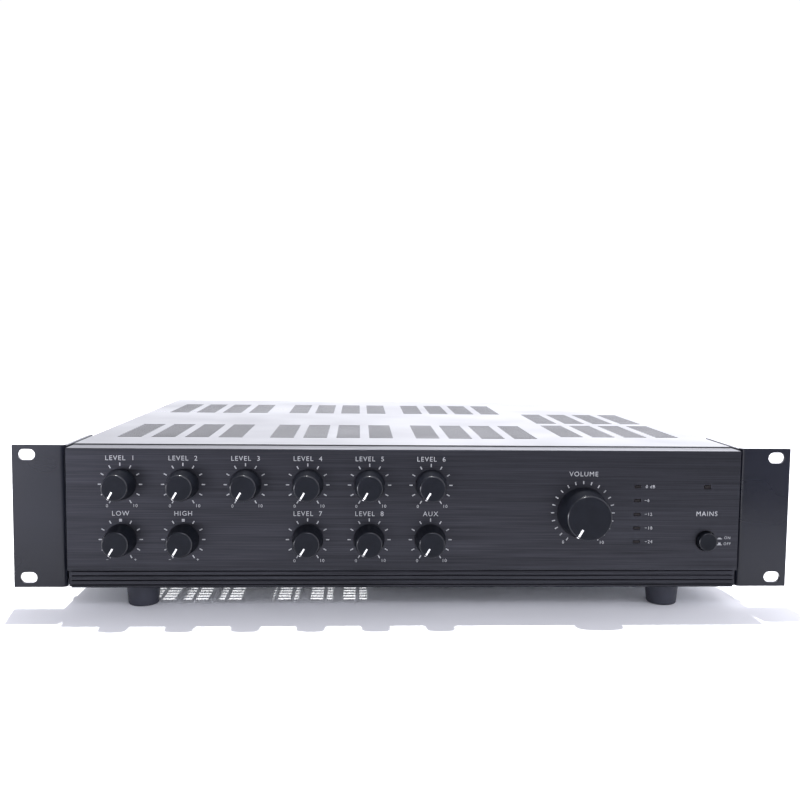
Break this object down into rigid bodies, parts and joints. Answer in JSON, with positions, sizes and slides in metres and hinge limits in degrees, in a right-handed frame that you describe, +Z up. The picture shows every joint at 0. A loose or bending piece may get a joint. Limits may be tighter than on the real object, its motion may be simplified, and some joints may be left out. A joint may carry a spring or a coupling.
{
  "type": "integrated amplifier",
  "caption": "Rack-mount integrated amplifier with dials, push power button, level meter, vented steel case, rack ears and rubber feet.",
  "frame": {"origin": "on the table under the middle of the whole: X middle of the rack ears, Y middle of the depth with knobs and terminals, Z at the underside of the feet", "axes": "+X to the right as seen from the front, +Y to the back, +Z up; the dials face -Y"},
  "size_m": [0.4826, 0.3854, 0.1011],
  "materials": {
    "panel": "brushed along its length, dark blue-grey anodised",
    "cover": "satin dark grey paint on steel",
    "ear": "satin dark grey paint on steel",
    "rear": "satin dark grey paint on steel",
    "zinc": "zinc-plated sheet",
    "screw": "nickel-plated",
    "knob": "smooth satin dark grey",
    "button": "smooth satin dark grey",
    "foot": "matt dark grey",
    "shaft": "turned",
    "board": "green solder mask",
    "housing": "black moulded",
    "lens": "smoked",
    "core": "varnished laminations",
    "coil": "enamelled winding under tape",
    "heat_sink": "extruded",
    "sleeve": "shrunk sleeve",
    "wire": "grey insulation",
    "print": "light grey screen print",
    "pointer": "white paint",
    "contact": "plated contacts and clamp screws"
  },
  "bodies": {
    "case": {"front_panel": "panel", "front_bracket": "zinc", "chassis_tray": "zinc", "top_cover": "cover", "rear_panel": "rear", "rack_ear_left": "ear", "rack_ear_right": "ear", "ear_screw_left_1": "screw", "ear_screw_left_2": "screw", "ear_screw_right_1": "screw", "ear_screw_right_2": "screw", "foot_front_left": "foot", "foot_front_right": "foot", "foot_back_left": "foot", "foot_back_right": "foot", "upper_control_board": "board", "lower_control_board": "board", "master_control_board": "board", "level_meter": "lens", "power_lamp": "lens", "power_switch": "housing", "transformer_core": "core", "transformer_coil": "coil", "main_board": "board", "heat_sink": "heat_sink", "supply_capacitor_1": "sleeve", "supply_capacitor_2": "sleeve", "mains_inlet": "housing", "fuse_holder": "housing", "speaker_terminals": "housing", "input_terminals": "housing", "ground_terminal": "screw", "module_cover_plate": "rear", "mains_loom": "wire", "control_ribbon": "wire"},
    "level_1_dial": {"level_1_knob": "knob", "level_1_shaft": "shaft"},
    "level_2_dial": {"level_2_knob": "knob", "level_2_shaft": "shaft"},
    "level_3_dial": {"level_3_knob": "knob", "level_3_shaft": "shaft"},
    "level_4_dial": {"level_4_knob": "knob", "level_4_shaft": "shaft"},
    "level_5_dial": {"level_5_knob": "knob", "level_5_shaft": "shaft"},
    "level_6_dial": {"level_6_knob": "knob", "level_6_shaft": "shaft"},
    "low_tone_dial": {"low_tone_knob": "knob", "low_tone_shaft": "shaft"},
    "high_tone_dial": {"high_tone_knob": "knob", "high_tone_shaft": "shaft"},
    "level_7_dial": {"level_7_knob": "knob", "level_7_shaft": "shaft"},
    "level_8_dial": {"level_8_knob": "knob", "level_8_shaft": "shaft"},
    "module_dial": {"module_knob": "knob", "module_shaft": "shaft"},
    "master_dial": {"master_knob": "knob", "master_shaft": "shaft"},
    "power_button": {"power_button": "button"}
  },
  "joints": [
    {"name": "level_1_turn", "type": "hinge", "parent": "case", "child": "level_1_dial", "pos_m": [-0.1751, -0.17465, 0.078], "axis": [0, 1, 0], "range_deg": [0, 300]},
    {"name": "level_2_turn", "type": "hinge", "parent": "case", "child": "level_2_dial", "pos_m": [-0.1373, -0.17465, 0.078], "axis": [0, 1, 0], "range_deg": [0, 300]},
    {"name": "level_3_turn", "type": "hinge", "parent": "case", "child": "level_3_dial", "pos_m": [-0.0995, -0.17465, 0.078], "axis": [0, 1, 0], "range_deg": [0, 300]},
    {"name": "level_4_turn", "type": "hinge", "parent": "case", "child": "level_4_dial", "pos_m": [-0.0617, -0.17465, 0.078], "axis": [0, 1, 0], "range_deg": [0, 300]},
    {"name": "level_5_turn", "type": "hinge", "parent": "case", "child": "level_5_dial", "pos_m": [-0.0239, -0.17465, 0.078], "axis": [0, 1, 0], "range_deg": [0, 300]},
    {"name": "level_6_turn", "type": "hinge", "parent": "case", "child": "level_6_dial", "pos_m": [0.0139, -0.17465, 0.078], "axis": [0, 1, 0], "range_deg": [0, 300]},
    {"name": "low_tone_turn", "type": "hinge", "parent": "case", "child": "low_tone_dial", "pos_m": [-0.1751, -0.17465, 0.044], "axis": [0, 1, 0], "range_deg": [0, 300]},
    {"name": "high_tone_turn", "type": "hinge", "parent": "case", "child": "high_tone_dial", "pos_m": [-0.1373, -0.17465, 0.044], "axis": [0, 1, 0], "range_deg": [0, 300]},
    {"name": "level_7_turn", "type": "hinge", "parent": "case", "child": "level_7_dial", "pos_m": [-0.0617, -0.17465, 0.044], "axis": [0, 1, 0], "range_deg": [0, 300]},
    {"name": "level_8_turn", "type": "hinge", "parent": "case", "child": "level_8_dial", "pos_m": [-0.0239, -0.17465, 0.044], "axis": [0, 1, 0], "range_deg": [0, 300]},
    {"name": "module_turn", "type": "hinge", "parent": "case", "child": "module_dial", "pos_m": [0.0139, -0.17465, 0.044], "axis": [0, 1, 0], "range_deg": [0, 300]},
    {"name": "master_turn", "type": "hinge", "parent": "case", "child": "master_dial", "pos_m": [0.1088, -0.17465, 0.061], "axis": [0, 1, 0], "range_deg": [0, 300]},
    {"name": "power_push", "type": "slide", "parent": "case", "child": "power_button", "axis": [0, 1, 0], "range_m": [0, 0.0035], "stiffness_N_per_m": 500}
  ]
}
